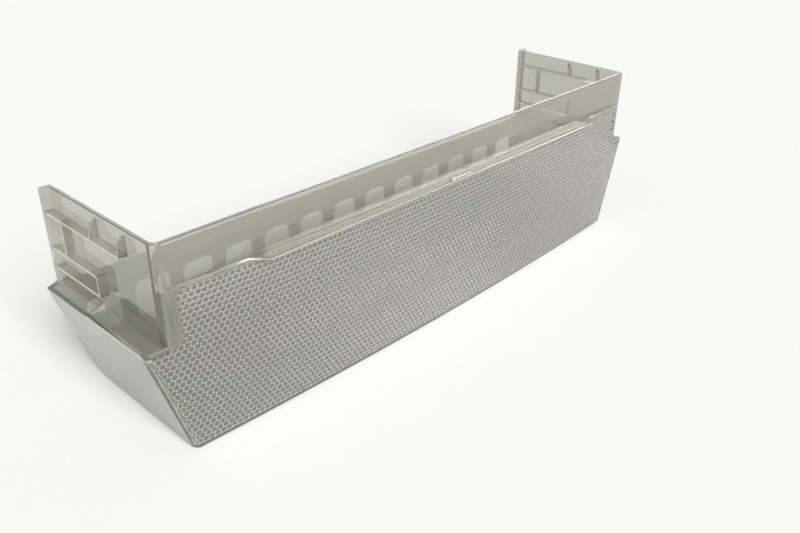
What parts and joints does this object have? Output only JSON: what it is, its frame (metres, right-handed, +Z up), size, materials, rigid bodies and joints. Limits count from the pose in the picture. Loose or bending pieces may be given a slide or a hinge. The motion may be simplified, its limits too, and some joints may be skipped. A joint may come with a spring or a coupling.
{
  "type": "fridge door bottle shelf",
  "caption": "Clear moulded tray that hangs in a fridge door: flared tub with a vented back, raised front wall with a finger lip, and ribbed end walls with lug pockets.",
  "frame": {"origin": "middle of the overall box in plan, on the underside of the floor", "axes": "+X along the shelf, to the right as seen from the front; +Y from the front towards the fridge door; +Z up"},
  "size_m": [0.475, 0.1196, 0.135],
  "materials": {
    "clear_plastic": "clear styrene-type plastic with a slight grey-green tint, glossy, with a dimpled front panel"
  },
  "bodies": {
    "root": {"bottle_shelf": "clear_plastic"}
  },
  "joints": []
}
